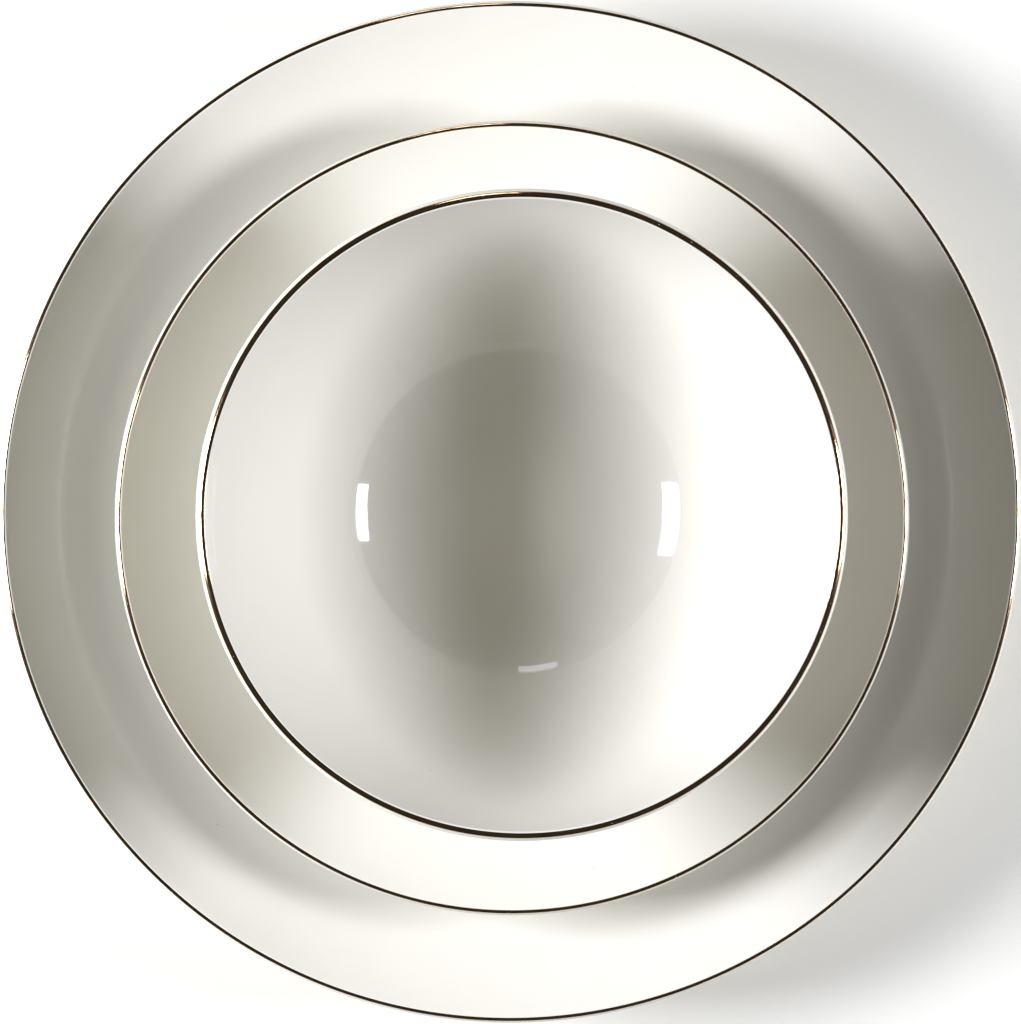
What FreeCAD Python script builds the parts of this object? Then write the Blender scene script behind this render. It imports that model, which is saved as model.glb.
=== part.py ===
import FreeCAD, Part
import math
import os

# A place setting of glazed china, stacked as it is stored: a coupe dinner plate, a coupe side
# plate standing in its well, and a coupe bowl standing in the side plate's well. Each vessel is
# made as a potter makes it, in three layers: a fired china body turned with a foot ring, a thin
# glaze over all of the body but the foot, and a gold band fired over the lip. Sizes are in
# millimetres. The origin is on the table, on the dinner plate's axis, with +Z up.

# Layers, the same on all three vessels
GLAZE = 0.3            # thickness of the glaze
GOLD = 0.15            # thickness of the gold band, on top of the glaze
SKINS = GLAZE + GOLD   # what lies outside the china body at the lip
GOLD_START = 1.0       # degrees round the lip from its level inner corner to the gold's inner edge
GOLD_END = 43.0        # degrees round the lip to the gold's outer edge
GOLD_ARCS = 4          # the gold is so thin that its section is made of this many short arcs
GOLD_STRETCHES = 12    # and it is turned in this many stretches, joined end to end
BARE = 0.9             # height of the unglazed part of the foot
COVE = 1.2             # radius of the cove between foot ring and underside
FOOT_WIDTH = 3.4       # width of the foot ring where it leaves the underside
FOOT_FLAT = 1.6        # width of the flat that the foot stands on
FOOT_ROOT = 1.5        # how far the foot ring's section runs up into the wall
PLATE_LIP = 1.8        # outside radius of a plate's lip, which is level at its inner corner

# Dinner plate
DINNER_RADIUS = 135.0
DINNER_HEIGHT = 30.0
DINNER_WELL_RADIUS = 68.0    # the flat of the well
DINNER_FOOT_RADIUS = 80.0    # outside of the foot ring
DINNER_FOOT_HEIGHT = 2.6
DINNER_WELL_WALL = 4.2       # china thickness at the well

# Side plate
SIDE_RADIUS = 104.7
SIDE_HEIGHT = 26.0
SIDE_WELL_RADIUS = 48.0
SIDE_FOOT_RADIUS = 60.0
SIDE_FOOT_HEIGHT = 2.4
SIDE_WELL_WALL = 3.8
SIDE_SHIFT = FreeCAD.Vector(0.1, -1.3, 0)     # set down by hand, a little off the axis

# Bowl
BOWL_RADIUS = 82.3
BOWL_HEIGHT = 71.0
BOWL_BASE_RADIUS = 19.5      # the flat middle of the base inside
BOWL_CREASE_RADIUS = 44.2    # the ring where the base meets the wall
BOWL_SHOULDER_RADIUS = 64.6  # where the wall's curve eases
BOWL_COVE_SLOPE = 36.0       # degrees, just inside the crease
BOWL_WALL_SLOPE = 41.0       # degrees, just outside the crease
BOWL_SHOULDER_SLOPE = 57.5   # degrees, at the shoulder
BOWL_FOOT_RADIUS = 38.0
BOWL_FOOT_HEIGHT = 3.2
BOWL_FOOT_RISE = 3.0         # how much higher the underside is outside the foot than inside it
BOWL_BASE_WALL = 3.8
BOWL_LIP = 2.5               # outside radius of the lip
BOWL_SHIFT = FreeCAD.Vector(0.5, 1.5, 0)     # measured from the dinner plate's axis

REACH = 400.0          # longer than any section, for the rectangles that trim one
UP = FreeCAD.Vector(0, 0, 1)


def point(x, z):
    return FreeCAD.Vector(x, 0, z)


def rectangle(low_x, high_x, low_z, high_z):
    corners = [point(low_x, low_z), point(high_x, low_z), point(high_x, high_z), point(low_x, high_z)]
    return Part.Face(Part.makePolygon(corners + corners[:1]))


def arc_between(start, centre, end):
    """The shorter arc about centre, from start to end."""
    middle = (start - centre) + (end - centre)
    middle.normalize()
    radius = (start - centre).Length
    return Part.Arc(start, centre + middle * radius, end).toShape()


def rising_arc(start, start_slope, end_x, end_slope):
    """An arc that climbs from start at one slope to end_x at a steeper one; also its end point."""
    first = math.radians(start_slope)
    last = math.radians(end_slope)
    radius = (end_x - start.x) / (math.sin(last) - math.sin(first))
    centre = start + point(-math.sin(first), math.cos(first)) * radius
    end = centre + point(math.sin(last), -math.cos(last)) * radius
    return arc_between(start, centre, end), end


def arc_to_lip(start, start_slope, radius, height, lip):
    """An arc that climbs from start to the lip's inner corner; also that corner and the end slope.

    A chord of an arc has the mean of the slopes at its ends, which gives the slope at the corner.
    """
    corner = point(radius - lip, height - SKINS)
    chord_slope = math.degrees(math.atan2(corner.z - start.z, corner.x - start.x))
    slope = 2 * chord_slope - start_slope
    edge, end = rising_arc(start, start_slope, corner.x, slope)
    return edge, end, slope


def outside_arc(lip_end, slope, foot_top):
    """The outside of the wall: one arc, in line with the wall at the lip, down to the foot's top."""
    angle = math.radians(slope)
    outward = point(math.sin(angle), -math.cos(angle))
    chord = foot_top - lip_end
    radius = -chord.Length ** 2 / (2 * chord.dot(outward))
    return arc_between(lip_end, lip_end - outward * radius, foot_top)


def foot_ring(radius, root_z):
    """The foot ring's section, run up into the wall above it."""
    taper = (FOOT_WIDTH - FOOT_FLAT) / 2
    inner = radius - FOOT_WIDTH
    corners = [
        point(radius, root_z),
        point(radius, BARE),
        point(radius - taper, 0),
        point(inner + taper, 0),
        point(inner, BARE),
        point(inner, root_z),
    ]
    return Part.Face(Part.makePolygon(corners + corners[:1]))


def body_section(inner_edges, corner, slope, lip, foot_top, under_z):
    """The half section of the china body.

    The inside ends at the lip's inner corner. From there the lip turns over, level at first, until
    it is in line with the wall. foot_top is where the wall's outside meets the foot.
    """
    angle = math.radians(slope)
    core = lip - SKINS
    centre = corner - point(0, core)
    lip_end = centre + point(math.sin(angle), -math.cos(angle)) * core
    middle = centre + point(math.cos(angle / 2), math.sin(angle / 2)) * core
    under = point(foot_top.x - FOOT_WIDTH / 2, under_z)
    edges = inner_edges + [
        Part.Arc(corner, middle, lip_end).toShape(),
        outside_arc(lip_end, slope, foot_top),
        Part.makeLine(foot_top, under),
        Part.makeLine(under, point(0, under_z)),
        Part.makeLine(point(0, under_z), inner_edges[0].Vertexes[0].Point),
    ]
    wall = Part.Face(Part.Wire(Part.__sortEdges__(edges)))
    foot = foot_ring(foot_top.x, foot_top.z + FOOT_ROOT)
    whole = wall.fuse(foot).removeSplitter().Faces[0]
    return whole.makeOffset2D(COVE).makeOffset2D(-COVE)


def plate_section(radius, height, well_radius, foot_radius, foot_height, well_wall):
    """A coupe plate: a level well that sweeps up to the lip in one curve."""
    well_z = foot_height + well_wall
    start = point(well_radius, well_z)
    well = Part.makeLine(point(0, well_z), start)
    sweep, corner, slope = arc_to_lip(start, 0, radius, height, PLATE_LIP)
    foot_top = point(foot_radius, foot_height)
    return body_section([well, sweep], corner, slope, PLATE_LIP, foot_top, foot_height)


def bowl_section():
    """A coupe bowl: a level base, a cove, a soft crease, and a wall that steepens to the lip."""
    base_z = BOWL_FOOT_HEIGHT + BOWL_BASE_WALL
    start = point(BOWL_BASE_RADIUS, base_z)
    base = Part.makeLine(point(0, base_z), start)
    cove, crease = rising_arc(start, 0, BOWL_CREASE_RADIUS, BOWL_COVE_SLOPE)
    wall, shoulder = rising_arc(crease, BOWL_WALL_SLOPE, BOWL_SHOULDER_RADIUS, BOWL_SHOULDER_SLOPE)
    upper_wall, corner, slope = arc_to_lip(shoulder, BOWL_SHOULDER_SLOPE, BOWL_RADIUS, BOWL_HEIGHT,
                                           BOWL_LIP)
    foot_top = point(BOWL_FOOT_RADIUS, BOWL_FOOT_HEIGHT + BOWL_FOOT_RISE)
    inner_edges = [base, cove, wall, upper_wall]
    return body_section(inner_edges, corner, slope, BOWL_LIP, foot_top, BOWL_FOOT_HEIGHT)


def glaze_section(body, foot_radius):
    """A skin over the whole body, stopped short of the ground by the bare foot."""
    skin = body.makeOffset2D(GLAZE).cut(body)
    right_half = rectangle(0, REACH, -REACH, REACH)
    bare = rectangle(foot_radius - FOOT_WIDTH - COVE, foot_radius + COVE, -REACH, BARE)
    return skin.common(right_half).cut(bare)


def around_lip(centre, reach, degrees):
    """The point at a reach from the lip's centre, so many degrees outward from the top."""
    angle = math.radians(degrees)
    return centre + point(math.sin(angle), math.cos(angle)) * reach


def gold_section(radius, height, lip):
    """A skin over the glaze on the top of the lip, from near its inner corner part of the way round."""
    centre = point(radius - lip, height - lip)
    inside = lip - GOLD
    step = (GOLD_END - GOLD_START) / GOLD_ARCS
    edges = []
    for reach in (inside, lip):
        for number in range(GOLD_ARCS):
            first = GOLD_START + step * number
            ends = [around_lip(centre, reach, first + step * share) for share in (0, 0.5, 1)]
            edges.append(Part.Arc(*ends).toShape())
    for degrees in (GOLD_START, GOLD_END):
        across = [around_lip(centre, reach, degrees) for reach in (inside, lip)]
        edges.append(Part.makeLine(*across))
    return Part.Face(Part.Wire(Part.__sortEdges__(edges)))


def revolve(section, stretches=1):
    """The section turned all the way round, in equal stretches that are joined into one solid."""
    sweep = 360 / stretches
    solids = []
    for face in section.Faces:
        turned = []
        for number in range(stretches):
            start = face.rotated(point(0, 0), UP, sweep * number)
            turned.append(start.revolve(point(0, 0), UP, sweep))
        ring = turned[0].fuse(turned[1:]) if stretches > 1 else turned[0]
        solids += ring.Solids
    return Part.makeCompound(solids) if len(solids) > 1 else solids[0]


def export_vessel(name, body, foot_radius, radius, height, lip, place):
    layers = {
        "body": body,
        "glaze": glaze_section(body, foot_radius),
        "gold_rim": gold_section(radius, height, lip),
    }
    for layer, section in layers.items():
        shape = revolve(section, GOLD_STRETCHES if layer == "gold_rim" else 1)
        shape.translate(place)
        box = shape.optimalBoundingBox()
        print(name, layer, "valid", shape.isValid(), "solids", len(shape.Solids),
              "volume %.1f" % shape.Volume, "radius %.2f" % (box.XLength / 2),
              "z %.2f to %.2f" % (box.ZMin, box.ZMax))
        shape.exportStep("parts/%s_%s.step" % (name, layer))


def main():
    os.makedirs("parts", exist_ok=True)
    dinner = plate_section(DINNER_RADIUS, DINNER_HEIGHT, DINNER_WELL_RADIUS,
                           DINNER_FOOT_RADIUS, DINNER_FOOT_HEIGHT, DINNER_WELL_WALL)
    side = plate_section(SIDE_RADIUS, SIDE_HEIGHT, SIDE_WELL_RADIUS,
                         SIDE_FOOT_RADIUS, SIDE_FOOT_HEIGHT, SIDE_WELL_WALL)
    bowl = bowl_section()
    side_z = DINNER_FOOT_HEIGHT + DINNER_WELL_WALL + GLAZE
    bowl_z = side_z + SIDE_FOOT_HEIGHT + SIDE_WELL_WALL + GLAZE
    export_vessel("dinner_plate", dinner, DINNER_FOOT_RADIUS, DINNER_RADIUS, DINNER_HEIGHT,
                  PLATE_LIP, UP * 0)
    export_vessel("side_plate", side, SIDE_FOOT_RADIUS, SIDE_RADIUS, SIDE_HEIGHT,
                  PLATE_LIP, SIDE_SHIFT + UP * side_z)
    export_vessel("bowl", bowl, BOWL_FOOT_RADIUS, BOWL_RADIUS, BOWL_HEIGHT,
                  BOWL_LIP, BOWL_SHIFT + UP * bowl_z)


main()
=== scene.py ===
import math

import bmesh
import bpy
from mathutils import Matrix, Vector, noise


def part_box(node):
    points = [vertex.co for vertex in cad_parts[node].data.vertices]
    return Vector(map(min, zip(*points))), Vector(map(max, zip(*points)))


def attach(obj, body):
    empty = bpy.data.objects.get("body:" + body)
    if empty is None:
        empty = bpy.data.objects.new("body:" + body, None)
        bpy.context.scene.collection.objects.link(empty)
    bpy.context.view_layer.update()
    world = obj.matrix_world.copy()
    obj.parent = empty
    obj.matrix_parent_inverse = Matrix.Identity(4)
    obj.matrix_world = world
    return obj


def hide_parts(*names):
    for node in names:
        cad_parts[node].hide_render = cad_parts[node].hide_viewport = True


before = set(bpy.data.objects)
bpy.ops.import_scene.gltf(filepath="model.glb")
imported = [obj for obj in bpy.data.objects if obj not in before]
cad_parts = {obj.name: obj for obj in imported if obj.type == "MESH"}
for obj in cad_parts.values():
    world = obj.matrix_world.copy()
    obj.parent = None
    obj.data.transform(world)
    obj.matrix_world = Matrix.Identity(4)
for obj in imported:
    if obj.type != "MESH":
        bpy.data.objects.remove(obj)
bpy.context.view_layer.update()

# The looks of a stack of glazed, gold-banded china: a dinner plate, a side plate and a bowl.
# Each vessel is turned again, finely, from the outline of its own CAD nodes, then given the
# small faults of a hand-finished pot. Lengths are in metres and angles in radians.

MM = 0.001
VESSELS = ("dinner_plate", "side_plate", "bowl")

# Turning
WELD = 1e-6                       # vertices closer than this are one
STRAIGHT = WELD * 0.1             # a point this close to a line through its neighbours isn't needed
ON_PLANE = 2e-6                   # a vertex this close to the cutting plane lies on it
CORNER_TURN = math.radians(25)    # an outline that turns more than this at a point has a corner
CREASE_TURN = math.radians(1.5)   # a turn back the other way of more than this is a crease
LONGEST_STEP = 1.5 * MM           # along a fine outline
LARGEST_TURN = math.radians(6)
SEGMENTS = 192                    # around the body and the glaze
GOLD_SEGMENTS = 720               # around a gold band, whose edge is drawn by hand

# Faults of making
RIM_WARP = 0.12 * MM              # rise and fall of the rim, twice round
WARP_LEAN = 2.1                   # how far each vessel's warp is turned from the last one's
RIPPLE = 0.004 * MM               # unevenness of the glaze
RIPPLE_LENGTH = 14 * MM
RIPPLE_APART = 40 * MM            # how far apart the vessels are in the noise that gives the ripple
RING_DEPTH = 0.060 * MM           # turning rings in the middle of a base
RING_PLACES = (0.57, 0.81)        # as shares of the foot ring's radius
RING_WIDTH = 2.2 * MM

# Gold bands
GOLD_STAND = 0.04 * MM            # how far the band stands off the glaze; the CAD draws it thicker
GOLD_SUNK = 0.01 * MM             # how far its edges run in under the glaze's face
GOLD_BACK = 0.05 * MM             # how far its back lies under the glaze's face
GOLD_FEATHER = 0.15 * MM          # width over which the band thins away at its edges
GOLD_STEPS = 24                   # across a band
BAND_WAVER = 0.07 * MM            # how much the brush wavers at the edge
BAND_PATCH = 9.0                  # wavers in a turn
BAND_TREMBLE = 6.0                # short wavers to each long one
TREMBLE_SHARE = 0.25              # their size beside the long ones

# Materials: colours are linear, noise scales are per metre, or per millimetre along a gold band
NOISE_LOW = 0.3                   # the noise textures run mostly between these
NOISE_HIGH = 0.7

# Studio
FLOOR_HALF = 4.0                  # half the floor's width
FLOOR_CELLS = 8
CAMERA_HEIGHT = 1.2
CAMERA_ASIDE = (-0.045, 0.042)    # the camera is a little off the plates' axis
CAMERA_REACH = 20                 # how far the camera sees
PICTURE = (1021, 1024)            # its width and height, for their ratio
PICTURE_GAMMA = 1.12
SENSOR = 36.0                     # millimetres, as is the lens
LIGHT_DISTANCE = 1.2
LIGHT_TARGET = Vector((0, 0, 0.03))
LAMP = (1.0, 1.01, 1.17)          # a little cooler than white
LIGHTS = (                        # name, degrees round and degrees up, width, height, watts
    ("softbox_left", 178.2, 27.6, 0.50, 0.44, 29.0),
    ("softbox_right", -0.7, 26.9, 0.36, 0.35, 15.3),
    ("window_far", 96.0, 27.0, 0.27, 0.11, 0.5),
)
WORLD_COLOUR = (0.9, 0.9, 0.9, 1)
WORLD_SEEN = 0.9                  # strength to the camera
WORLD_LIGHT = 0.03                # strength as a light


def seam_points(node):
    """The outline of a CAD node at its +X seam, as chains of (radius, height) points."""
    low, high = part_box(node)
    axis = (low + high) / 2
    mesh = bmesh.new()
    mesh.from_mesh(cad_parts[node].data)
    bmesh.ops.remove_doubles(mesh, verts=mesh.verts[:], dist=WELD)
    for normal, clear in ((Vector((1, 0, 0)), True), (Vector((0, 1, 0)), False)):
        parts = mesh.verts[:] + mesh.edges[:] + mesh.faces[:]
        bmesh.ops.bisect_plane(mesh, geom=parts, dist=WELD, plane_co=axis, plane_no=normal,
                               clear_inner=clear)
    on_seam = {v for v in mesh.verts if abs(v.co.y - axis.y) < ON_PLANE}
    links = {v: [] for v in on_seam}
    for edge in mesh.edges:
        a, b = edge.verts
        if a in on_seam and b in on_seam:
            links[a].append(b)
            links[b].append(a)
    starts = [v for v in on_seam if len(links[v]) == 1]
    starts.sort(key=lambda v: v.co.z)
    chains = []
    left = {v for v in on_seam if links[v]}
    while left:
        ends = [v for v in starts if v in left]
        here = ends[-1] if ends else min(left, key=lambda v: (v.co.z, v.co.x))
        chain = []
        while here is not None:
            left.discard(here)
            chain.append(Vector((max(here.co.x - axis.x, 0.0), here.co.z)))
            here = next((v for v in links[here] if v in left), None)
        chains.append(chain)
    mesh.free()
    return [drop_straight(chain) for chain in chains if len(chain) > 2]


def drop_straight(chain):
    """The chain without the points that lie on a straight line between their neighbours."""
    kept = [chain[0]]
    for here, after in zip(chain[1:-1], chain[2:]):
        run = after - kept[-1]
        away = here - kept[-1]
        if abs(run.x * away.y - run.y * away.x) > STRAIGHT * run.length:
            kept.append(here)
    return kept + [chain[-1]]


def turn_at(before, here, after):
    """The signed angle that the outline turns by at here."""
    first = here - before
    second = after - here
    cross = first.x * second.y - first.y * second.x
    return math.atan2(cross, first.dot(second))


def corners_of(points):
    """For each point of an open outline, whether it is a corner. The ends are."""
    turns = [turn_at(*points[i - 1:i + 2]) for i in range(1, len(points) - 1)]
    found = [True]
    for i, turn in enumerate(turns):
        beside = turns[max(i - 1, 0):i] + turns[i + 1:i + 2]
        crease = abs(turn) > CREASE_TURN and all(turn * other < 0 for other in beside)
        found.append(abs(turn) > CORNER_TURN or crease)
    return found + [True]


def tangent(points, lengths, i, corner, side):
    """The direction of the outline at point i, seen from its side (-1 before it, 1 after it)."""
    if not corner:
        return (points[i + 1] - points[i - 1]) / (lengths[i + 1] - lengths[i - 1])
    return (points[i + side] - points[i]) / (lengths[i + side] - lengths[i])


def fine_outline(points):
    """A smooth outline through the points: its own points, and for each whether it is a corner."""
    lengths = [0.0]
    for a, b in zip(points, points[1:]):
        lengths.append(lengths[-1] + (b - a).length)
    corner = corners_of(points)
    fine = [points[0]]
    sharp = [True]
    for i in range(len(points) - 1):
        a, b = points[i], points[i + 1]
        span = lengths[i + 1] - lengths[i]
        leave = tangent(points, lengths, i, corner[i], 1)
        arrive = tangent(points, lengths, i + 1, corner[i + 1], -1)
        if corner[i] and not corner[i + 1]:
            leave = 2 * (b - a) / span - arrive
        if corner[i + 1] and not corner[i]:
            arrive = 2 * (b - a) / span - leave
        turn = abs(math.atan2(leave.x * arrive.y - leave.y * arrive.x, leave.dot(arrive)))
        steps = max(1, math.ceil(span / LONGEST_STEP), math.ceil(turn / LARGEST_TURN))
        for step in range(1, steps + 1):
            t = step / steps
            fine.append(a * (2 * t ** 3 - 3 * t ** 2 + 1) + leave * span * (t ** 3 - 2 * t ** 2 + t)
                        + b * (3 * t ** 2 - 2 * t ** 3) + arrive * span * (t ** 3 - t ** 2))
            sharp.append(step == steps and corner[i + 1])
    return fine, sharp


def smooth_step(x):
    """0 up to 0, 1 from 1 on, and an even rise between them."""
    x = min(max(x, 0.0), 1.0)
    return x * x * (3 - 2 * x)


class Vessel:
    """One vessel: its axis, its main sizes and the small faults that all its layers share."""

    def __init__(self, name, number):
        self.name = name
        self.number = number
        low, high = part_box(name + "_body")
        self.axis = (low + high) / 2
        self.floor = low.z
        self.outline = {}
        for layer in ("body", "glaze"):
            self.outline[layer] = [fine_outline(chain) for chain in seam_points(f"{name}_{layer}")]
        body_points = self.outline["body"][0][0]
        self.rim = max(p.x for p in body_points)
        self.foot = max(p.x for p in body_points if p.y < self.floor + WELD)
        self.well = max(p.y for p in body_points if p.x < WELD)

    def place(self, radius, angle, height):
        """The point of the finished pot for a point of the true turned shape."""
        x = radius * math.cos(angle)
        y = radius * math.sin(angle)
        raised = smooth_step((height - self.floor) / (self.well - self.floor))
        warp = (radius / self.rim) ** 2 * math.cos(2 * angle + WARP_LEAN * self.number)
        ripple = noise.noise(Vector((x, y, RIPPLE_APART * self.number)) / RIPPLE_LENGTH)
        lift = RIM_WARP * warp + RIPPLE * ripple
        for place in RING_PLACES:
            away = (radius - place * self.foot) / RING_WIDTH
            lift += RING_DEPTH * math.exp(-away * away)
        return Vector((self.axis.x + x, self.axis.y + y, height + lift * raised))


def turned_piece(name, vessel, layer):
    """A mesh turned about the vessel's axis from the fine outlines of one of its layers."""
    mesh = bmesh.new()
    for points, sharp in vessel.outline[layer]:
        rings = []
        for point in points:
            if point.x < WELD:
                rings.append([mesh.verts.new(vessel.place(0, 0, point.y))])
            else:
                rings.append([mesh.verts.new(vessel.place(point.x, math.tau * k / SEGMENTS, point.y))
                              for k in range(SEGMENTS)])
        for before, after in zip(rings, rings[1:]):
            join_rings(mesh, before, after)
        for ring, corner in zip(rings, sharp):
            if corner and len(ring) > 1:
                for pair in zip(ring, ring[1:] + ring[:1]):
                    mesh.edges.get(pair).smooth = False
    return finish_piece(name, mesh)


def join_rings(mesh, lower, upper):
    """Faces between two rings. Either may be a single vertex on the axis."""
    count = max(len(lower), len(upper))
    for k in range(count):
        after = (k + 1) % count
        corners = [lower[k % len(lower)], lower[after % len(lower)],
                   upper[after % len(upper)], upper[k % len(upper)]]
        unique = list(dict.fromkeys(corners))
        if len(unique) > 2:
            mesh.faces.new(unique)


def finish_piece(name, mesh):
    """A smooth-shaded object made from the mesh."""
    bmesh.ops.recalc_face_normals(mesh, faces=mesh.faces[:])
    for face in mesh.faces:
        face.smooth = True
    data = bpy.data.meshes.new(name)
    mesh.to_mesh(data)
    mesh.free()
    piece = bpy.data.objects.new(name, data)
    bpy.context.scene.collection.objects.link(piece)
    return piece


def lip_path(vessel):
    """The stretch of the glaze's face under the gold, outward over the lip, and distances along it."""
    node = vessel.name + "_gold_rim"
    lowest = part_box(node)[0].z
    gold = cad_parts[node].data.vertices
    inner = min(math.hypot(v.co.x - vessel.axis.x, v.co.y - vessel.axis.y) for v in gold)
    points = next(points for points, _ in vessel.outline["glaze"] if max(p.x for p in points) > inner)
    first = next(i for i, p in enumerate(points) if p.x > inner)
    last = next(i for i, p in enumerate(points) if i > first and p.y < lowest)
    start = cut_between(points[first - 1], points[first], 0, inner)
    end = cut_between(points[last - 1], points[last], 1, lowest)
    path = [start] + points[first:last] + [end]
    lengths = [0.0]
    for a, b in zip(path, path[1:]):
        lengths.append(lengths[-1] + (b - a).length)
    return path, lengths


def cut_between(a, b, axis, value):
    """The point between a and b whose coordinate on the axis has the value."""
    return a + (b - a) * ((value - a[axis]) / (b[axis] - a[axis]))


def along(path, lengths, distance):
    """The point at a distance along a path over the lip, and the direction out of the glaze there."""
    distance = min(max(distance, 0.0), lengths[-1])
    i = 0
    while i < len(path) - 2 and lengths[i + 1] < distance:
        i += 1
    share = (distance - lengths[i]) / (lengths[i + 1] - lengths[i])
    before = path[max(i - 1, 0)]
    after = path[min(i + 2, len(path) - 1)]
    first = (path[i + 1] - before).normalized()
    second = (after - path[i]).normalized()
    run = first.lerp(second, share).normalized()
    return path[i] + (path[i + 1] - path[i]) * share, Vector((-run.y, run.x))


def unit_noise(place):
    """Smooth noise from 0 to 1."""
    return 0.5 + 0.5 * noise.noise(place)


def band_edges(angle, number, whole):
    """Where the gold starts and ends along the lip at an angle, as the brush wavered."""
    turn = Vector((math.cos(angle), math.sin(angle), number)) * BAND_PATCH / math.tau
    near = unit_noise(turn) + TREMBLE_SHARE * unit_noise(turn * BAND_TREMBLE)
    return BAND_WAVER * near, whole - BAND_WAVER * unit_noise(-turn)


def band_loop(path, lengths, start, end):
    """The closed section of the gold between start and end, with each point's distance along."""
    face = []
    back = []
    for step in range(GOLD_STEPS + 1):
        distance = start + (end - start) * step / GOLD_STEPS
        point, outward = along(path, lengths, distance)
        edge = min(distance - start, end - distance)
        thick = (GOLD_STAND + GOLD_SUNK) * smooth_step(edge / GOLD_FEATHER) - GOLD_SUNK
        face.append((point + outward * thick, distance))
        if 0 < step < GOLD_STEPS:
            back.append((point - outward * GOLD_BACK, distance))
    return face + back[::-1]


def gold_band(vessel):
    """The gold over the lip, with a map of it in millimetres: x around the rim, y across the band."""
    path, lengths = lip_path(vessel)
    around = math.tau * max(p.x for p in path) / MM
    mesh = bmesh.new()
    layer = mesh.loops.layers.uv.new("band")
    rings = []
    places = []
    for k in range(GOLD_SEGMENTS):
        angle = math.tau * k / GOLD_SEGMENTS
        start, end = band_edges(angle, vessel.number, lengths[-1])
        loop = band_loop(path, lengths, start, end)
        rings.append([mesh.verts.new(vessel.place(p.x, angle, p.y)) for p, _ in loop])
        places.append([(around * k / GOLD_SEGMENTS, d / MM) for _, d in loop])
    count = len(rings[0])
    for k in range(GOLD_SEGMENTS):
        after = (k + 1) % GOLD_SEGMENTS
        lap = around if after == 0 else 0.0
        for i in range(count):
            j = (i + 1) % count
            quad = mesh.faces.new([rings[k][i], rings[after][i], rings[after][j], rings[k][j]])
            spots = [places[k][i], places[after][i], places[after][j], places[k][j]]
            for corner, spot, shift in zip(quad.loops, spots, (0.0, lap, lap, 0.0)):
                corner[layer].uv = (spot[0] + shift, spot[1])
    return finish_piece(vessel.name + "_gold_band", mesh)


class Nodes:
    """A material's node tree, with short ways to add and join nodes."""

    def __init__(self, name):
        self.material = bpy.data.materials.new(name)
        self.material.use_nodes = True
        self.tree = self.material.node_tree
        self.shader = self.tree.nodes["Principled BSDF"]

    def add(self, kind, inputs=(), **settings):
        node = self.tree.nodes.new(kind)
        for key, value in settings.items():
            setattr(node, key, value)
        for key, value in dict(inputs).items():
            if isinstance(value, bpy.types.NodeSocket):
                self.tree.links.new(value, node.inputs[key])
            else:
                node.inputs[key].default_value = value
        return node

    def join(self, output, key):
        self.tree.links.new(output, self.shader.inputs[key])

    def set(self, **values):
        for key, value in values.items():
            self.shader.inputs[key.replace("_", " ")].default_value = value

    def scaled_noise(self, vector, per_metre, detail=2.0, roughness=0.5):
        return self.add("ShaderNodeTexNoise", {"Vector": vector, "Scale": per_metre, "Detail": detail,
                                               "Roughness": roughness}).outputs["Fac"]

    def spread(self, value, low, high, start=NOISE_LOW, end=NOISE_HIGH):
        """The value, which runs from start to end, stretched to run from low to high."""
        node = self.add("ShaderNodeMapRange", {"Value": value, "From Min": start, "From Max": end,
                                               "To Min": low, "To Max": high})
        return node.outputs["Result"]

    def maths(self, operation, a, b=0.0):
        return self.add("ShaderNodeMath", {0: a, 1: b}, operation=operation).outputs[0]

    def blend(self, share, a, b):
        node = self.add("ShaderNodeMix", data_type="RGBA")
        colours = [socket for socket in node.inputs if socket.type == "RGBA"]
        for socket, value in zip([node.inputs[0]] + colours, (share, a, b)):
            if isinstance(value, bpy.types.NodeSocket):
                self.tree.links.new(value, socket)
            else:
                socket.default_value = value
        return next(socket for socket in node.outputs if socket.type == "RGBA")

    def bump(self, height, distance, strength):
        inputs = {"Height": height, "Distance": distance, "Strength": strength}
        return self.add("ShaderNodeBump", inputs).outputs["Normal"]

    def cells(self, vector, per_unit, size, rarity, channel):
        """1 in a round spot in the middle of a few random cells, and 0 elsewhere."""
        cells = self.add("ShaderNodeTexVoronoi", {"Vector": vector, "Scale": per_unit})
        near = self.maths("LESS_THAN", cells.outputs["Distance"], size)
        draw = self.add("ShaderNodeSeparateColor", {"Color": cells.outputs["Color"]}).outputs[channel]
        return self.maths("MULTIPLY", near, self.maths("GREATER_THAN", draw, rarity))


def glaze_material():
    """Clear gloss glaze over creamy china: barely mottled, with the odd iron speck."""
    cream = (0.690, 0.668, 0.560, 1)
    pale_cream = (0.700, 0.679, 0.574, 1)
    iron = (0.25, 0.21, 0.16, 1)
    speck_strength = 0.35
    nodes = Nodes("glaze_gloss")
    where = nodes.add("ShaderNodeTexCoord").outputs["Object"]
    mottle = nodes.spread(nodes.scaled_noise(where, 45, detail=3), 0.0, 1.0)
    specks = nodes.cells(where, 90.0, size=0.022, rarity=0.93, channel="Red")
    colour = nodes.blend(mottle, cream, pale_cream)
    colour = nodes.blend(nodes.maths("MULTIPLY", specks, speck_strength), colour, iron)
    nodes.join(colour, "Base Color")
    smear = nodes.scaled_noise(where, 70, detail=4)
    nodes.join(nodes.spread(smear, 0.045, 0.075), "Roughness")
    peel = nodes.scaled_noise(where, 260)
    nodes.join(nodes.bump(peel, distance=0.02 * MM, strength=0.35), "Normal")
    nodes.set(IOR=1.5)
    return nodes.material


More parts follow.
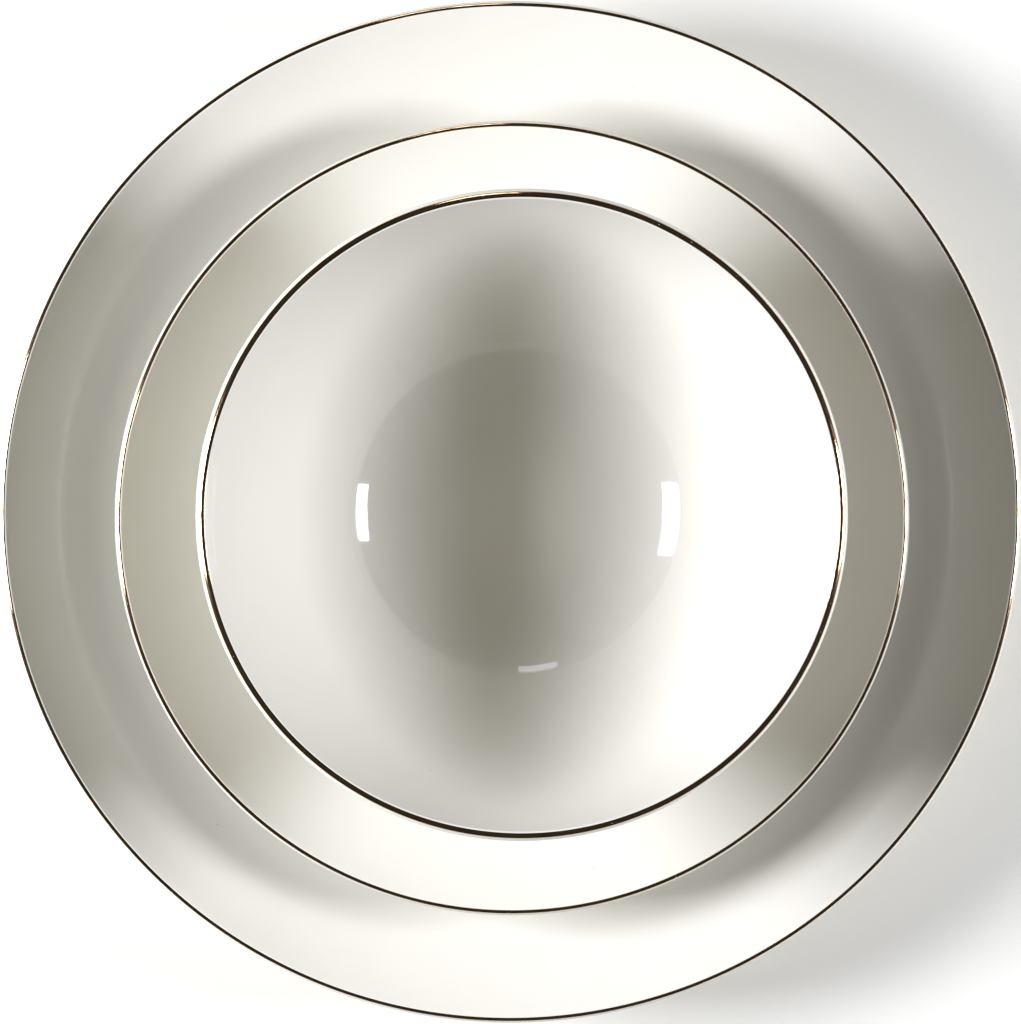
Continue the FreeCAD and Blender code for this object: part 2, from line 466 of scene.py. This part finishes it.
def china_material():
    """Bare fired china on the foot: matt, slightly grainy, and greyed where it stands."""
    china = (0.66, 0.64, 0.59, 1)
    pale_china = (0.74, 0.72, 0.67, 1)
    grime = (0.42, 0.38, 0.32, 1)
    nodes = Nodes("china_bisque")
    where = nodes.add("ShaderNodeTexCoord").outputs["Object"]
    grain = nodes.scaled_noise(where, 2600, detail=4, roughness=0.65)
    stain = nodes.spread(nodes.scaled_noise(where, 120, detail=4), 0.0, 0.6, start=0.42, end=0.72)
    nodes.join(nodes.blend(stain, nodes.blend(grain, china, pale_china), grime), "Base Color")
    nodes.join(nodes.spread(grain, 0.68, 0.88), "Roughness")
    nodes.join(nodes.bump(grain, distance=0.06 * MM, strength=0.6), "Normal")
    return nodes.material


def gold_material():
    """Burnished gold lustre, brushed on along the lip: streaked, thin in places, worn at specks."""
    thin_gold = (0.62, 0.38, 0.17, 1)
    full_gold = (0.78, 0.54, 0.28, 1)
    bare_glaze = (0.72, 0.68, 0.60, 1)
    streak_scale = (0.25, 6.0, 1.0)
    patch_scale = (0.12, 0.6, 1.0)
    nodes = Nodes("gold_lustre")
    band = nodes.add("ShaderNodeUVMap", uv_map="band").outputs["UV"]
    streaks = nodes.add("ShaderNodeMapping", {"Vector": band, "Scale": streak_scale}).outputs[0]
    patches = nodes.add("ShaderNodeMapping", {"Vector": band, "Scale": patch_scale}).outputs[0]
    streak = nodes.scaled_noise(streaks, 1.0, detail=3)
    patch = nodes.scaled_noise(patches, 1.0, detail=3)
    worn = nodes.cells(band, 1.1, size=0.10, rarity=0.90, channel="Green")
    colour = nodes.blend(nodes.spread(patch, 0.0, 1.0, start=0.35, end=0.65), thin_gold, full_gold)
    nodes.join(nodes.blend(worn, colour, bare_glaze), "Base Color")
    nodes.join(nodes.maths("SUBTRACT", 1.0, worn), "Metallic")
    nodes.join(nodes.spread(streak, 0.05, 0.11), "Roughness")
    nodes.join(nodes.bump(streak, distance=0.01 * MM, strength=0.5), "Normal")
    return nodes.material


def floor_material():
    """Smooth warm-white paper."""
    paper = (0.81, 0.80, 0.69, 1)
    pale_paper = (0.83, 0.82, 0.71, 1)
    nodes = Nodes("floor_paper")
    where = nodes.add("ShaderNodeTexCoord").outputs["Object"]
    fibre = nodes.scaled_noise(where, 900, detail=4)
    nodes.join(nodes.blend(fibre, paper, pale_paper), "Base Color")
    nodes.join(nodes.bump(fibre, distance=0.03 * MM, strength=0.2), "Normal")
    nodes.set(Roughness=0.9, Specular_IOR_Level=0.2)
    return nodes.material


def give(piece, material, vessel, node):
    """Puts a piece in the place of a CAD node, on its vessel's body."""
    piece.data.materials.append(material)
    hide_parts(node)
    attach(piece, vessel.name)


def make_vessels():
    """The china, the glaze skin and the gold band of each vessel."""
    china = china_material()
    glaze = glaze_material()
    gold = gold_material()
    for number, name in enumerate(VESSELS):
        vessel = Vessel(name, number)
        body = turned_piece(name + "_china", vessel, "body")
        give(body, china, vessel, name + "_body")
        skin = turned_piece(name + "_glaze_skin", vessel, "glaze")
        give(skin, glaze, vessel, name + "_glaze")
        give(gold_band(vessel), gold, vessel, name + "_gold_rim")


def make_floor():
    """A wide sheet of paper for the dinner plate to stand on."""
    mesh = bmesh.new()
    bmesh.ops.create_grid(mesh, x_segments=FLOOR_CELLS, y_segments=FLOOR_CELLS, size=FLOOR_HALF)
    floor = finish_piece("floor", mesh)
    floor.data.materials.append(floor_material())


def make_camera():
    """Looks down on the dinner plate from a little to one side, with its rim filling the width."""
    low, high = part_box("dinner_plate_gold_rim")
    camera = bpy.data.cameras.new("camera")
    holder = bpy.data.objects.new("camera", camera)
    bpy.context.scene.collection.objects.link(holder)
    holder.location = Vector((*CAMERA_ASIDE, CAMERA_HEIGHT))
    middle = Vector(((low.x + high.x) / 2, (low.y + high.y) / 2, high.z))
    radius = (high.x - low.x) / 2
    distance = (middle - holder.location).length
    # the near side of a round rim looks larger, so its picture is centred a little toward the camera
    toward = Vector(CAMERA_ASIDE).to_3d() * (radius / distance) ** 2
    direction = middle + toward - holder.location
    holder.rotation_euler = Vector((0, 0, -1)).rotation_difference(direction).to_euler()
    camera.sensor_fit = "VERTICAL"
    camera.sensor_height = SENSOR
    picture_height = 2 * radius * PICTURE[1] / PICTURE[0]
    camera.lens = SENSOR * distance / picture_height
    camera.clip_end = CAMERA_REACH
    bpy.context.scene.camera = holder


def make_light(name, side, elevation, width, height, watts):
    """A flat lamp at the light distance that faces the light target."""
    light = bpy.data.lights.new(name, "AREA")
    light.shape = "RECTANGLE"
    light.size = width
    light.size_y = height
    light.energy = watts
    light.color = LAMP
    holder = bpy.data.objects.new(name, light)
    bpy.context.scene.collection.objects.link(holder)
    aside = Vector((math.cos(side), math.sin(side), 0)) * math.cos(elevation)
    holder.location = LIGHT_TARGET + (aside + Vector((0, 0, math.sin(elevation)))) * LIGHT_DISTANCE
    holder.rotation_euler = (LIGHT_TARGET - holder.location).to_track_quat("-Z", "Y").to_euler()


def make_world():
    """Pale to look at, but almost dark as a light, so that only the softboxes light the china."""
    world = bpy.data.worlds.new("studio")
    bpy.context.scene.world = world
    world.use_nodes = True
    tree = world.node_tree
    background = tree.nodes["Background"]
    background.inputs["Color"].default_value = WORLD_COLOUR
    seen = tree.nodes.new("ShaderNodeLightPath").outputs["Is Camera Ray"]
    strength = tree.nodes.new("ShaderNodeMapRange")
    strength.inputs["To Min"].default_value = WORLD_LIGHT
    strength.inputs["To Max"].default_value = WORLD_SEEN
    tree.links.new(seen, strength.inputs["Value"])
    tree.links.new(strength.outputs["Result"], background.inputs["Strength"])


make_vessels()
make_floor()
for lamp, around, up, width, height, watts in LIGHTS:
    make_light(lamp, math.radians(around), math.radians(up), width, height, watts)
make_world()
make_camera()
bpy.context.scene.view_settings.view_transform = "Standard"
bpy.context.scene.view_settings.gamma = PICTURE_GAMMA
